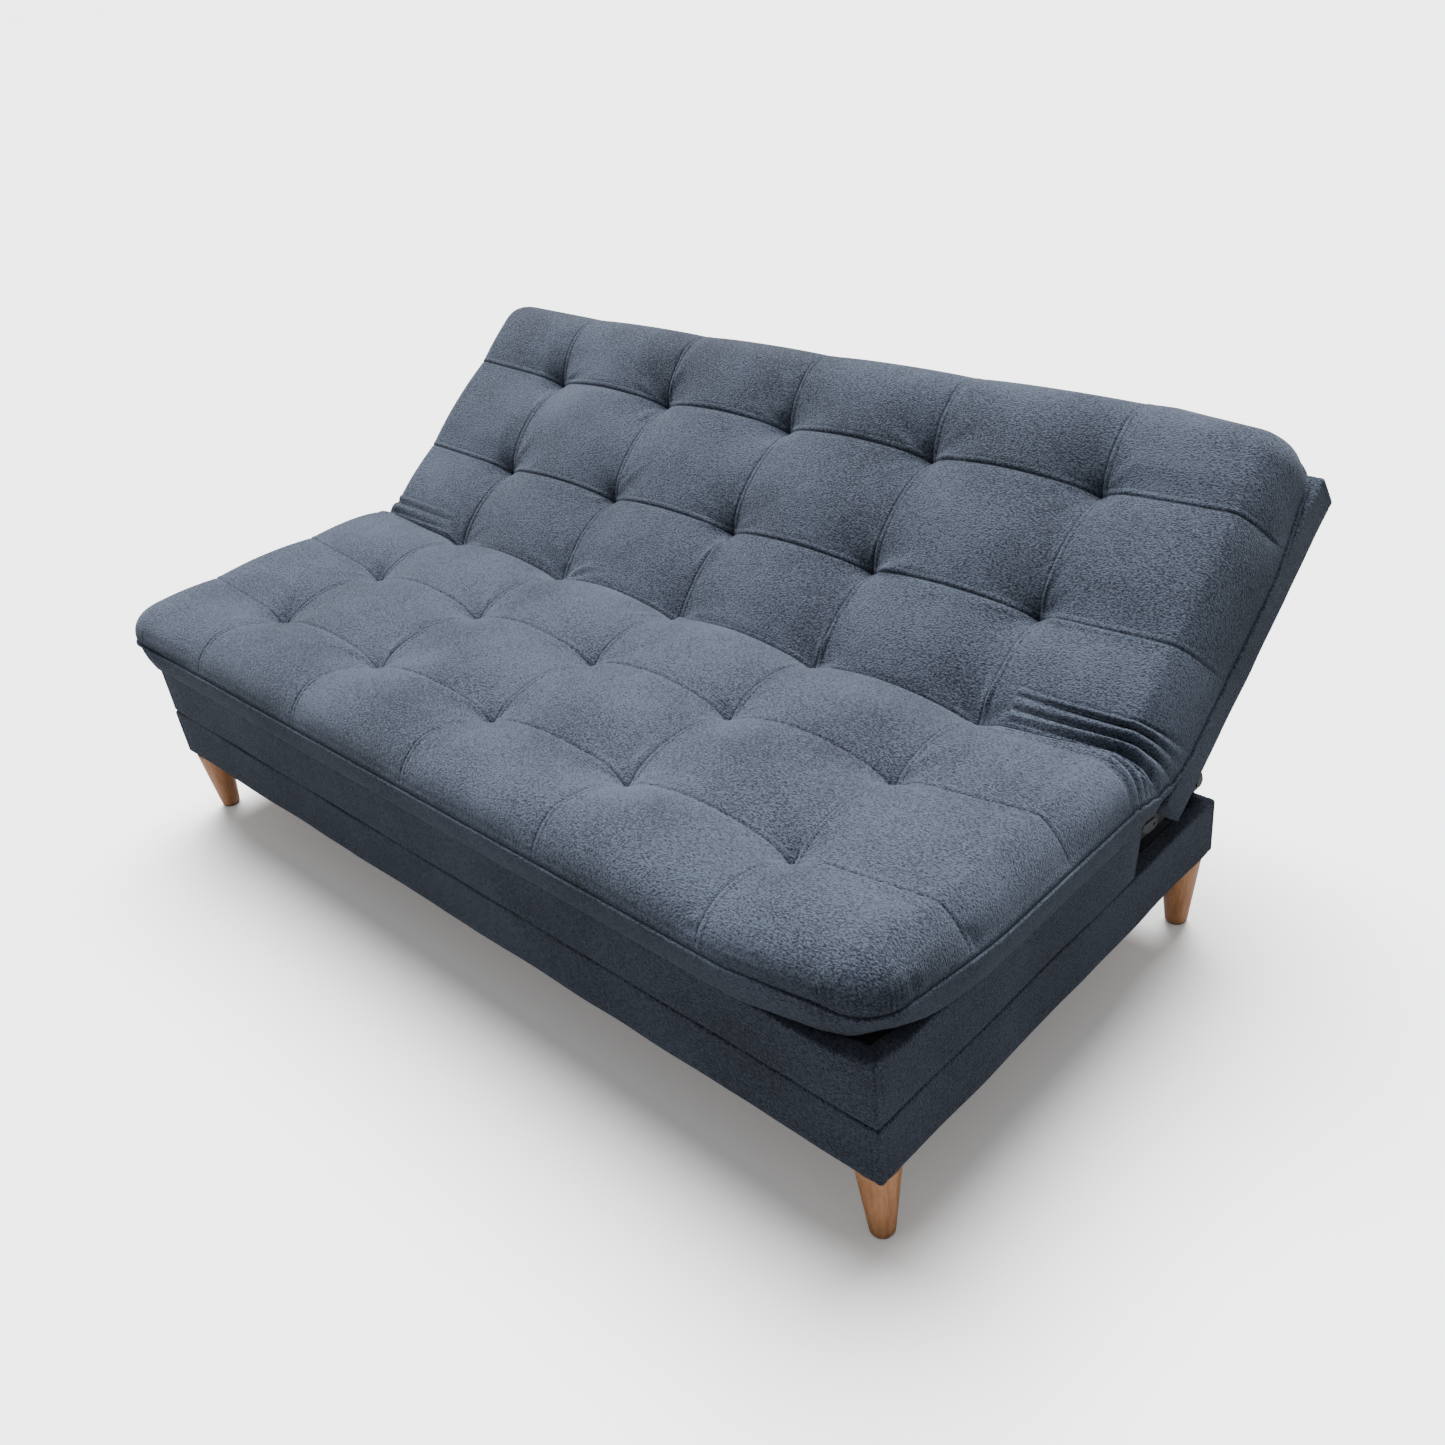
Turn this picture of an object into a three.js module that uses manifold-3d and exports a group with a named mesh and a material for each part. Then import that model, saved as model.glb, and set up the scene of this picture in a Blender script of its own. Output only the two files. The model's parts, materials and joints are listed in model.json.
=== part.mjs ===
// A click-clack futon sofa bed: a fabric-covered storage base on four turned beech legs, a seat box that
// lifts at the front on two rear steel brackets, and a back that reclines flat on two steel ratchet joints.
// Millimetres. X is the width, Y runs from the front to the back, Z is up, and the floor is at Z = 0.
import * as THREE from "three";
import { mergeVertices } from "three/addons/utils/BufferGeometryUtils.js";
import Module from "manifold-3d";

const wasm = await Module();
wasm.setup();

// Driving dimensions.
const GAP = 0.3; // between pieces that touch
const LEG_HEIGHT = 128;
const LEG_TOP_RADIUS = 30;
const LEG_FOOT_RADIUS = 16.5;
const GLIDE_HEIGHT = 2.5;
const LEG_INSET = 32; // from the base's outer faces to a leg's axis

const HALF_WIDTH = 840; // base and seat box
const BASE_FRONT = -501;
const BASE_REAR = 293;
const BASE_HEIGHT = 91;
const BOARD = 25; // thickness of the upholstered boards

const SEAT_BOX_HEIGHT = 90;
const SEAT_BOX_REAR = 59;
const TIER_GAP = 1; // shadow line between the base and the seat box
const SLAT_WIDTH = 62;
const SLAT_THICKNESS = 16;
const SEAT_SLAT_X = [-660, -330, 0, 330, 660];
const BACK_SLAT_X = [-600, -200, 200, 600];

const RECLINE_Y = 110; // axis between the seat and the back
const RECLINE_Z = 293;
const BACK_ANGLE = THREE.MathUtils.degToRad(38); // the back's slope in the lounge position
const FOLD_ANGLE = THREE.MathUtils.degToRad(38); // each pad's end face leans this far out of the fold
const BACK_RAIL_START = 40; // along the back, from the recline axis
const BACK_RAIL_END = 520;
const BACK_RAIL_WIDTH = 38;
const BACK_RAIL_BOTTOM = -15; // across the back, from the recline axis
const BACK_RAIL_TOP = 45;
const BACK_HALF_WIDTH = 864;

const PAD_HALF_WIDTH = 880;
const SEAT_BAND = 62; // height of the flat band below the welt
const BACK_BAND = 20;
const PAD_CORNER = 95; // radius of a pad's corners, seen from above
const SEAT_PAD_FRONT = -536.5;
const PAD_BAND_INSET = 14; // the band's lower edge stands this far inside the welt
const CROWN_Z = 436; // top of the seat pad
const BACK_PAD_END = 575;

const LIFT_Y = 284; // axis between the base and the seat box
const LIFT_Z = 246;
const PLATE = 6; // thickness of the steel arms
const PLATE_GAP = 1; // between arms that turn past each other
const PIN_RADIUS = 5;
const PIN_HEAD_RADIUS = 9;
const DISC_RADIUS = 24; // ratchet disc round the recline axis
const NOTCH_DEPTH = 4;

// Places worked out from the dimensions above.
const BASE_BOTTOM = LEG_HEIGHT;
const BASE_TOP = BASE_BOTTOM + BASE_HEIGHT;
const INNER_X = HALF_WIDTH - BOARD;
const SEAT_BOTTOM = BASE_TOP + TIER_GAP;
const SEAT_TOP = SEAT_BOTTOM + SEAT_BOX_HEIGHT;
const SEAT_PAD_BOTTOM = SEAT_TOP + TIER_GAP;
const BACK_CROWN = CROWN_Z - RECLINE_Z; // the pads' tops line up when the bed is flat
const SEAT_ARM_OUTER_X = INNER_X - GAP;
const SEAT_ARM_INNER_X = SEAT_ARM_OUTER_X - PLATE;
const BACK_ARM_INNER_X = SEAT_ARM_OUTER_X + PLATE_GAP;
const BACK_ARM_OUTER_X = BACK_ARM_INNER_X + PLATE;
const BRACKET_OUTER_X = SEAT_ARM_INNER_X - PLATE_GAP;
const BRACKET_INNER_X = BRACKET_OUTER_X - PLATE;

// Materials.
const finish = (color, roughness, metalness = 0) => ({ color, roughness, metalness });
const FABRIC = finish(0x4d5566, 0.95);
const DARK_CLOTH = finish(0x22252c, 0.98);
const BEECH = finish(0xc98a5e, 0.5);
const PINE = finish(0xd2b48c, 0.7);
const HARDBOARD = finish(0x7a5a3c, 0.8);
const STEEL = finish(0x30333a, 0.45, 0.8);
const ZINC = finish(0xb9bcc0, 0.35, 1);
const PLASTIC = finish(0x1c1c1e, 0.6);

const base = new THREE.Group();
const seat = new THREE.Group();
const back = new THREE.Group(); // its own Y runs up along the back and its own Z points out of the cushion
back.position.set(0, RECLINE_Y, RECLINE_Z);
back.rotation.x = BACK_ANGLE;

// Adds a named piece to a group, with a material of its own.
function add(group, name, geometry, look) {
  const mesh = new THREE.Mesh(geometry, new THREE.MeshStandardMaterial(look));
  mesh.name = name;
  group.add(mesh);
  return mesh;
}

// A board between two corners.
function board(group, name, look, [x0, x1], [y0, y1], [z0, z1]) {
  const mesh = add(group, name, new THREE.BoxGeometry(x1 - x0, y1 - y0, z1 - z0), look);
  mesh.position.set((x0 + x1) / 2, (y0 + y1) / 2, (z0 + z1) / 2);
  return mesh;
}

// A shape drawn in Y and Z, extruded along X.
function alongX(shape, x0, x1) {
  const geometry = new THREE.ExtrudeGeometry(shape, { depth: x1 - x0, bevelEnabled: false, curveSegments: 10 });
  const axes = [new THREE.Vector3(0, 1, 0), new THREE.Vector3(0, 0, 1), new THREE.Vector3(1, 0, 0)];
  geometry.applyMatrix4(new THREE.Matrix4().makeBasis(...axes));
  return geometry.translate(x0, 0, 0);
}

// A shape drawn in X and Z, extruded along Y.
function alongY(shape, y0, y1) {
  const geometry = new THREE.ExtrudeGeometry(shape, { depth: y1 - y0, bevelEnabled: false, curveSegments: 10 });
  return geometry.rotateX(Math.PI / 2).translate(0, y1, 0);
}

// A shape drawn in X and Y, extruded along Z.
function alongZ(shape, z0, z1) {
  const geometry = new THREE.ExtrudeGeometry(shape, { depth: z1 - z0, bevelEnabled: false, curveSegments: 10 });
  return geometry.translate(0, 0, z0);
}

// A profile of radius against height, turned round Z.
function turned(profile, segments = 32) {
  const points = profile.map(([radius, height]) => new THREE.Vector2(radius, height));
  return new THREE.LatheGeometry(points, segments).rotateX(Math.PI / 2);
}

function toSolid(geometry) {
  const plain = geometry.clone();
  plain.deleteAttribute("normal");
  plain.deleteAttribute("uv");
  const merged = mergeVertices(plain, 1e-3);
  const mesh = new wasm.Mesh({
    numProp: 3,
    vertProperties: new Float32Array(merged.attributes.position.array),
    triVerts: new Uint32Array(merged.index.array),
  });
  return new wasm.Manifold(mesh);
}

function toGeometry(solid) {
  const { vertProperties, triVerts } = solid.getMesh();
  const geometry = new THREE.BufferGeometry();
  geometry.setAttribute("position", new THREE.BufferAttribute(vertProperties, 3));
  geometry.setIndex(new THREE.BufferAttribute(triVerts, 1));
  return geometry;
}

function polygon(points) {
  return new THREE.Shape(points.map(([u, v]) => new THREE.Vector2(u, v)));
}

function circlePoints(centre, radius, from, to, steps) {
  return Array.from({ length: steps + 1 }, (_, i) => {
    const angle = from + ((to - from) * i) / steps;
    return [centre[0] + radius * Math.cos(angle), centre[1] + radius * Math.sin(angle)];
  });
}

// Base: four fabric-covered boards round a storage compartment, with a deck behind the seat box.
function buildBase() {
  const height = [BASE_BOTTOM, BASE_TOP];
  const between = [-INNER_X + GAP, INNER_X - GAP];
  board(base, "base_left_board", FABRIC, [-HALF_WIDTH, -INNER_X], [BASE_FRONT, BASE_REAR], height);
  board(base, "base_right_board", FABRIC, [INNER_X, HALF_WIDTH], [BASE_FRONT, BASE_REAR], height);
  board(base, "base_front_board", FABRIC, between, [BASE_FRONT, BASE_FRONT + BOARD], height);
  board(base, "base_rear_board", FABRIC, between, [BASE_REAR - BOARD, BASE_REAR], height);

  const insideY = [BASE_FRONT + BOARD + GAP, BASE_REAR - BOARD - GAP];
  const beam = 24;
  const floor = 5;
  const beamTop = BASE_BOTTOM + beam;
  board(base, "base_centre_beam", PINE, [-beam, beam], insideY, [BASE_BOTTOM, beamTop]);
  const blockTop = beamTop;
  const block = 76;
  for (const [side, sx] of [["left", -1], ["right", 1]]) {
    for (const [end, y] of [["front", insideY[0]], ["rear", insideY[1] - block]]) {
      const x = sx * (INNER_X - GAP - block / 2);
      board(base, `corner_block_${end}_${side}`, PINE, [x - block / 2, x + block / 2], [y, y + block],
        [BASE_BOTTOM, blockTop]);
    }
  }
  board(base, "storage_floor", HARDBOARD, between, insideY, [beamTop + GAP, beamTop + GAP + floor]);

  const deck = 15;
  const deckFront = SEAT_BOX_REAR - BOARD;
  board(base, "rear_deck", DARK_CLOTH, between, [deckFront, insideY[1]], [BASE_TOP - deck, BASE_TOP]);
}

// Legs: a steel plate and a tapered round leg under each corner, standing on a plastic glide.
function buildLegs() {
  const plate = 2.5;
  const plateSize = 44;
  const chamfer = 2;
  const legBottom = GLIDE_HEIGHT + GAP;
  const legTop = BASE_BOTTOM - plate - 2 * GAP;
  const leg = [
    [0, legBottom],
    [LEG_FOOT_RADIUS - chamfer, legBottom],
    [LEG_FOOT_RADIUS, legBottom + chamfer],
    [LEG_TOP_RADIUS, legTop - chamfer],
    [LEG_TOP_RADIUS - chamfer, legTop],
    [0, legTop],
  ];
  const glide = [
    [0, 0],
    [LEG_FOOT_RADIUS - 2 * chamfer, 0],
    [LEG_FOOT_RADIUS - chamfer, 1],
    [LEG_FOOT_RADIUS - chamfer, GLIDE_HEIGHT],
    [0, GLIDE_HEIGHT],
  ];
  for (const [side, sx] of [["left", -1], ["right", 1]]) {
    for (const [end, y] of [["front", BASE_FRONT + LEG_INSET], ["rear", BASE_REAR - LEG_INSET]]) {
      const x = sx * (HALF_WIDTH - LEG_INSET);
      add(base, `leg_${end}_${side}`, turned(leg), BEECH).position.set(x, y, 0);
      add(base, `leg_glide_${end}_${side}`, turned(glide, 24), PLASTIC).position.set(x, y, 0);
      const top = BASE_BOTTOM - GAP;
      board(base, `leg_plate_${end}_${side}`, ZINC, [x - plateSize / 2, x + plateSize / 2],
        [y - plateSize / 2, y + plateSize / 2], [top - plate, top]);
    }
  }
}

// Seat box: four covered boards, slats from front to rear, and a thin deck under the pad.
function buildSeatBox() {
  const height = [SEAT_BOTTOM, SEAT_TOP];
  const between = [-INNER_X + GAP, INNER_X - GAP];
  board(seat, "seat_left_board", FABRIC, [-HALF_WIDTH, -INNER_X], [BASE_FRONT, SEAT_BOX_REAR], height);
  board(seat, "seat_right_board", FABRIC, [INNER_X, HALF_WIDTH], [BASE_FRONT, SEAT_BOX_REAR], height);
  board(seat, "seat_front_board", FABRIC, between, [BASE_FRONT, BASE_FRONT + BOARD], height);
  const rearX = SEAT_ARM_INNER_X - GAP;
  board(seat, "seat_rear_board", PINE, [-rearX, rearX], [SEAT_BOX_REAR - BOARD, SEAT_BOX_REAR], height);

  const insideY = [BASE_FRONT + BOARD + GAP, SEAT_BOX_REAR - BOARD - GAP];
  const deck = 4;
  const deckBottom = SEAT_TOP - deck;
  const slatTop = deckBottom - GAP;
  SEAT_SLAT_X.forEach((x, i) => {
    board(seat, `seat_slat_${i + 1}`, PINE, [x - SLAT_WIDTH / 2, x + SLAT_WIDTH / 2], insideY,
      [slatTop - SLAT_THICKNESS, slatTop]);
  });
  board(seat, "seat_deck", DARK_CLOTH, between, insideY, [deckBottom, SEAT_TOP]);
}

// Back frame: two side rails, a top and a bottom rail, slats up the back, and a covered rear panel.
function buildBackFrame() {
  const depth = [BACK_RAIL_BOTTOM, BACK_RAIL_TOP];
  const sideInner = BACK_ARM_OUTER_X + GAP;
  const along = [BACK_RAIL_START, BACK_RAIL_END];
  board(back, "back_left_rail", FABRIC, [-BACK_HALF_WIDTH, -sideInner], along, depth);
  board(back, "back_right_rail", FABRIC, [sideInner, BACK_HALF_WIDTH], along, depth);
  const topStart = BACK_RAIL_END - BACK_RAIL_WIDTH;
  const topX = sideInner - GAP;
  board(back, "back_top_rail", FABRIC, [-topX, topX], [topStart, BACK_RAIL_END], depth);
  const bottomX = BACK_ARM_INNER_X - GAP;
  const bottomEnd = BACK_RAIL_START + BACK_RAIL_WIDTH;
  board(back, "back_bottom_rail", PINE, [-bottomX, bottomX], [BACK_RAIL_START, bottomEnd], depth);

  const slatTop = BACK_RAIL_TOP - GAP;
  BACK_SLAT_X.forEach((x, i) => {
    board(back, `back_slat_${i + 1}`, PINE, [x - SLAT_WIDTH / 2, x + SLAT_WIDTH / 2],
      [bottomEnd + GAP, topStart - GAP], [slatTop - SLAT_THICKNESS, slatTop]);
  });
  const panel = 4;
  const panelTop = BACK_RAIL_BOTTOM - GAP;
  board(back, "back_rear_panel", FABRIC, [-BACK_HALF_WIDTH, BACK_HALF_WIDTH], along, [panelTop - panel, panelTop]);
}

// A pad's long outline: a flat bottom, a band that leans out to the welt, and a rounded shoulder.
// The pad ends at the fold in a face that leans by FOLD_ANGLE, cut back at the bottom to clear the ratchet disc.
function padLength(bottom, band, foldPoint, end, direction) {
  const crown = foldPoint[1] + BACK_CROWN;
  const welt = bottom + band;
  const shoulder = crown - welt;
  const roll = 1.25 * shoulder;
  const corner = Array.from({ length: 8 }, (_, i) => {
    const angle = (i / 7) * (Math.PI / 2);
    return [end - direction * roll * (1 - Math.cos(angle)), welt + shoulder * Math.sin(angle)];
  });
  const foldAt = (height) => foldPoint[0] + direction * ((height - foldPoint[1]) * Math.tan(FOLD_ANGLE) + GAP);
  const cutBack = 14;
  const cutHeight = bottom + 18;
  return polygon([
    [foldAt(bottom) + direction * cutBack, bottom],
    [end - direction * PAD_BAND_INSET, bottom],
    ...corner,
    [foldAt(crown), crown],
    [foldAt(cutHeight), cutHeight],
  ]);
}

// A pad's cross outline, the same on the left and the right.
function padWidth(bottom, band, crown) {
  const welt = bottom + band;
  const shoulder = crown - welt;
  const roll = 1.25 * shoulder;
  const right = Array.from({ length: 8 }, (_, i) => {
    const angle = (i / 7) * (Math.PI / 2);
    return [PAD_HALF_WIDTH - roll * (1 - Math.cos(angle)), welt + shoulder * Math.sin(angle)];
  });
  const side = [[PAD_HALF_WIDTH - PAD_BAND_INSET, bottom], ...right];
  const left = side.map(([x, z]) => [-x, z]).reverse();
  return polygon([...side, ...left]);
}

// A pad's outline from above: square at the fold, with two rounded corners at its free end.
function padPlan(foldY, endY, direction) {
  const x = PAD_HALF_WIDTH - PAD_CORNER;
  const y = endY - direction * PAD_CORNER;
  const quarter = direction * (Math.PI / 2);
  return polygon([
    [-PAD_HALF_WIDTH, foldY],
    ...circlePoints([-x, y], PAD_CORNER, direction * Math.PI, quarter, 8),
    ...circlePoints([x, y], PAD_CORNER, quarter, 0, 8),
    [PAD_HALF_WIDTH, foldY],
  ]);
}

// A crowned pad is what its three outlines have in common.
function padGeometry(bottom, band, foldPoint, end, direction) {
  const crown = foldPoint[1] + BACK_CROWN;
  const reach = [foldPoint[0], end].sort((a, b) => a - b);
  const span = 2 * BACK_CROWN;
  const side = padLength(bottom, band, foldPoint, end, direction);
  const length = toSolid(alongX(side, -PAD_HALF_WIDTH, PAD_HALF_WIDTH));
  const width = toSolid(alongY(padWidth(bottom, band, crown), reach[0] - span, reach[1] + span));
  const plan = toSolid(alongZ(padPlan(foldPoint[0], end, direction), bottom - 1, crown + 1));
  return toGeometry(length.intersect(width).intersect(plan));
}

// The stretch of the pad that bends: a wedge between the two pads' end faces with a crease along its top.
function foldGeometry() {
  const reach = Math.tan(FOLD_ANGLE);
  const seatFace = (z) => RECLINE_Y - (z - RECLINE_Z) * reach + 2 * GAP;
  const backFace = RECLINE_Y - GAP;
  const lowest = RECLINE_Z + DISC_RADIUS + 4;
  const seatShoulder = CROWN_Z - 12;
  const crease = [RECLINE_Y - 56, CROWN_Z - 46];
  const backShoulder = CROWN_Z + 14;
  const outline = polygon([
    [seatFace(lowest), lowest],
    [backFace, lowest],
    [backFace, backShoulder],
    crease,
    [seatFace(seatShoulder), seatShoulder],
  ]);
  const half = PAD_HALF_WIDTH - 2 * PAD_BAND_INSET;
  return alongX(outline, -half, half);
}

function buildPads() {
  const seatFold = [RECLINE_Y, RECLINE_Z];
  add(seat, "seat_pad", padGeometry(SEAT_PAD_BOTTOM, SEAT_BAND, seatFold, SEAT_PAD_FRONT, -1), FABRIC);
  add(seat, "fold_pad", foldGeometry(), FABRIC);
  const backPadBottom = BACK_RAIL_TOP + GAP;
  add(back, "back_pad", padGeometry(backPadBottom, BACK_BAND, [0, 0], BACK_PAD_END, 1), FABRIC);
}

// Steel plate with holes, cut from an outline drawn in Y and Z.
function steelPlate(outline, holes, x0, x1) {
  for (const [centre, radius] of holes) {
    outline.holes.push(new THREE.Path(circlePoints(centre, radius, 0, 2 * Math.PI, 24)
      .slice(0, -1).map(([u, v]) => new THREE.Vector2(u, v))));
  }
  return alongX(outline, x0, x1);
}

// The layers of a mechanism are drawn for the right side and mirrored for the left.
function layer(sx, inner, outer) {
  return sx > 0 ? [inner, outer] : [-outer, -inner];
}

// A headed pin along X, with its head outside and its far end peened flat.
function headedPin(sx, innerX, outerX) {
  const head = 3;
  const length = outerX - innerX;
  const profile = [
    [0, 0],
    [PIN_RADIUS, 0],
    [PIN_RADIUS, length],
    [PIN_HEAD_RADIUS, length],
    [PIN_HEAD_RADIUS, length + head],
    [0, length + head],
  ];
  const geometry = turned(profile, 24);
  geometry.rotateY((sx * Math.PI) / 2);
  return geometry.translate(sx * innerX, 0, 0);
}

const PIN_HOLE = PIN_RADIUS / Math.cos(Math.PI / 24) + GAP;

// Seat arm: runs from the seat box's side board, up round the recline axis and back to the lift axis.
function seatArmOutline() {
  const ear = 21;
  const lug = 14;
  const top = SEAT_TOP - 10;
  const bottom = SEAT_BOTTOM + 22;
  return polygon([
    [SEAT_BOX_REAR - 140, bottom + 10],
    [SEAT_BOX_REAR - 10, bottom],
    ...circlePoints([LIFT_Y, LIFT_Z], lug, -Math.PI / 2, Math.PI / 2, 8),
    [RECLINE_Y + 1.4 * ear, LIFT_Z + lug + 8], // low enough for the back's rear panel when the bed is flat
    ...circlePoints([RECLINE_Y, RECLINE_Z], ear, -Math.PI / 6, Math.PI * 0.8, 8),
    [SEAT_BOX_REAR - 10, top],
    [SEAT_BOX_REAR - 140, top],
  ]);
}

// Back arm: a notched ratchet disc round the recline axis, and a bar along the inside of the side rail.
function backArmOutline() {
  const barEnd = 260;
  const barTop = DISC_RADIUS - 3;
  const barBottom = BACK_RAIL_BOTTOM + 3;
  const rise = Math.asin(barTop / DISC_RADIUS);
  const fall = 2 * Math.PI + Math.asin(barBottom / DISC_RADIUS);
  const teeth = 15;
  const rim = Array.from({ length: teeth + 1 }, (_, i) => {
    const angle = rise + ((fall - rise) * i) / teeth;
    const radius = DISC_RADIUS - (i % 3 === 2 ? NOTCH_DEPTH : 0);
    return [radius * Math.cos(angle), radius * Math.sin(angle)];
  });
  return polygon([[barEnd, barBottom], [barEnd, barTop], ...rim]);
}

// Pawl: a short lever under the ratchet disc whose nose points at the rim.
const PAWL_Y = RECLINE_Y + 34;
const PAWL_Z = RECLINE_Z - 37;
function pawlOutline() {
  const nose = 0.8; // clearance of the nose from the rim
  const reach = DISC_RADIUS + nose;
  const direction = -Math.PI * 0.44;
  const tip = [RECLINE_Y + reach * Math.cos(direction), RECLINE_Z + reach * Math.sin(direction)];
  return polygon([
    tip,
    [tip[0] - 5, tip[1] - 7],
    [PAWL_Y - 16, PAWL_Z - 8],
    ...circlePoints([PAWL_Y, PAWL_Z], 9, -Math.PI * 0.6, Math.PI * 0.5, 8),
  ]);
}

// Base bracket: a foot screwed to the rear deck and an ear that holds the lift pin.
function bracketGeometry(sx) {
  const lug = 14;
  const footWidth = 44;
  const footStart = LIFT_Y - 74;
  const footEnd = BASE_REAR - 3;
  const bottom = BASE_TOP + GAP;
  const footTop = bottom + PLATE - 1;
  const ear = polygon([
    [footStart + 14, bottom],
    [footEnd, bottom],
    [LIFT_Y + 9, bottom + 8],
    ...circlePoints([LIFT_Y, LIFT_Z], lug, 0, Math.PI * 0.75, 8),
    [footStart + 14, footTop + 6],
  ]);
  const earPlate = steelPlate(ear, [[[LIFT_Y, LIFT_Z], PIN_HOLE]], ...layer(sx, BRACKET_INNER_X, BRACKET_OUTER_X));
  const foot = new THREE.BoxGeometry(footWidth, footEnd - footStart, footTop - bottom);
  const footX = sx * (BRACKET_OUTER_X - footWidth / 2);
  foot.translate(footX, (footStart + footEnd) / 2, (bottom + footTop) / 2);
  return toGeometry(toSolid(earPlate).add(toSolid(foot)));
}

// The click-clack mechanism: a base bracket, a seat arm, a back arm and a pawl on each side, with their pins.
function buildMechanism() {
  for (const [side, sx] of [["left", -1], ["right", 1]]) {
    const seatLayer = layer(sx, SEAT_ARM_INNER_X, SEAT_ARM_OUTER_X);
    const backLayer = layer(sx, BACK_ARM_INNER_X, BACK_ARM_OUTER_X);
    add(base, `base_bracket_${side}`, bracketGeometry(sx), STEEL);
    const holes = [
      [[RECLINE_Y, RECLINE_Z], PIN_HOLE],
      [[LIFT_Y, LIFT_Z], PIN_HOLE],
      [[PAWL_Y, PAWL_Z], PIN_HOLE / 2],
    ];
    add(seat, `seat_arm_${side}`, steelPlate(seatArmOutline(), holes, ...seatLayer), STEEL);
    add(back, `back_arm_${side}`, steelPlate(backArmOutline(), [[[0, 0], PIN_HOLE]], ...backLayer), STEEL);
    const pawlHole = [[PAWL_Y, PAWL_Z], PIN_HOLE / 2];
    add(seat, `pawl_${side}`, steelPlate(pawlOutline(), [pawlHole], ...backLayer), ZINC);

    const liftPin = headedPin(sx, BRACKET_INNER_X - 2, SEAT_ARM_OUTER_X + GAP);
    add(base, `lift_pin_${side}`, liftPin, ZINC).position.set(0, LIFT_Y, LIFT_Z);
    const reclinePin = headedPin(sx, SEAT_ARM_INNER_X - 2, BACK_ARM_OUTER_X + GAP);
    add(seat, `recline_pin_${side}`, reclinePin, ZINC).position.set(0, RECLINE_Y, RECLINE_Z);
  }
}

buildBase();
buildLegs();
buildSeatBox();
buildBackFrame();
buildPads();
buildMechanism();

const sofa = new THREE.Group();
sofa.add(base, seat, back);

export default sofa;
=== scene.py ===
"""The looks of the click-clack sofa bed: one tufted mattress that bends between the seat and the back, cloth
covers on the boards, turned beech legs and procedural materials. Metres, in the CAD frame."""

import json
import math

import bpy
import numpy as np
from mathutils import Matrix, Vector


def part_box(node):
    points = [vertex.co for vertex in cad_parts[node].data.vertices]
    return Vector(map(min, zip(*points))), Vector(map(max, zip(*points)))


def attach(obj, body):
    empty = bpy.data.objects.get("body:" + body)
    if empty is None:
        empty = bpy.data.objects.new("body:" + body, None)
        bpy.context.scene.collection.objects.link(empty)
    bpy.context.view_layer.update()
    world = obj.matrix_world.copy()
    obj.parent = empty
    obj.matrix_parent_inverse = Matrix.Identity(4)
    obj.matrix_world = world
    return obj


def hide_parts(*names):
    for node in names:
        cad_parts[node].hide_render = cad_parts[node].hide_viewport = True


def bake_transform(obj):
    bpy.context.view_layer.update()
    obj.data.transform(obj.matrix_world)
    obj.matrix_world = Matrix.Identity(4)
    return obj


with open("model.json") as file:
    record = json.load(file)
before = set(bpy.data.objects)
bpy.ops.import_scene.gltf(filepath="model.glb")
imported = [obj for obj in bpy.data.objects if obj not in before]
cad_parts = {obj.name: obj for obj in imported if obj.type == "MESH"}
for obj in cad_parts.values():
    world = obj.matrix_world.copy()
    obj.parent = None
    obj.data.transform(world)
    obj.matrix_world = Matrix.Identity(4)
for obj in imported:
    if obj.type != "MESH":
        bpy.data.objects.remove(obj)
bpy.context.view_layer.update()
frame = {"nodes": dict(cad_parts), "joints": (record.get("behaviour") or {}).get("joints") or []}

# The recline axis, and the back's own directions: along it (up) and across it (out of the cushion).
RECLINE = next(j for j in frame["joints"] if j["name"] == "back_recline")
AXIS_Y, AXIS_Z = RECLINE["pos_m"][1], RECLINE["pos_m"][2]
BACK_ANGLE = -math.radians(RECLINE["range_deg"][0])
ALONG = np.array([math.cos(BACK_ANGLE), math.sin(BACK_ANGLE)])
ACROSS = np.array([-math.sin(BACK_ANGLE), math.cos(BACK_ANGLE)])

# Mattress.
TUFT_DEPTH = 0.050  # from the mattress's crown down to its tufts
TUFT_PITCH = 0.300  # across the width
TUFT_COLUMNS = 5
SEAT_ROWS = (-0.460, -0.256, -0.066)  # rows of tufts, measured from the recline axis
BACK_ROWS = (0.190, 0.396)
BEND_REACH = 0.050  # the mattress starts to bend this far from where seat and back would meet
FRONT_WELT = 0.632  # front welt, in front of the recline axis
TOP_WELT = 0.563  # top welt, up the back from the recline axis
HALF_WIDTH = 0.865  # at the welt
BULGE = 0.006  # the sides swell past the welt by this
ROLL = 0.062  # width of the rounded edge
ROLL_FULLNESS = 0.85  # 1 is an elliptical edge, less is plumper
CORNER = 0.060  # radius of the right corners, seen from above
LEFT_CORNER = 0.040  # the left corners are tighter
CORNER_DRAW = 0.020  # the edges draw in towards the right corners by this, over the reach below
CORNER_REACH = 0.25
SEAT_WELT = -0.013  # heights above the line of the tufts
BACK_WELT = -0.045
SEAT_UNDERSIDE = -0.071
BAND_INSET = 0.014  # the band below the welt leans in by this
BAND_BULGE = 0.003
BAND_STEPS = 8
UNDERSIDE_STEPS = 12  # from side to side
CORNER_LIFT = 0.26  # share of the band's height by which its lower edge lifts at the right corners
CORNER_TUCK = 0.8  # the band leans in by this much more there
ROW_HALF_PITCH = 0.100  # the pillows between two rows fall away over this distance
FOLD_DEPTH = 0.020  # extra depth of the crease between seat and back
PLEAT_START = 0.606  # the pleats at the fold's ends start here, beside the last tufts
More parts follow.
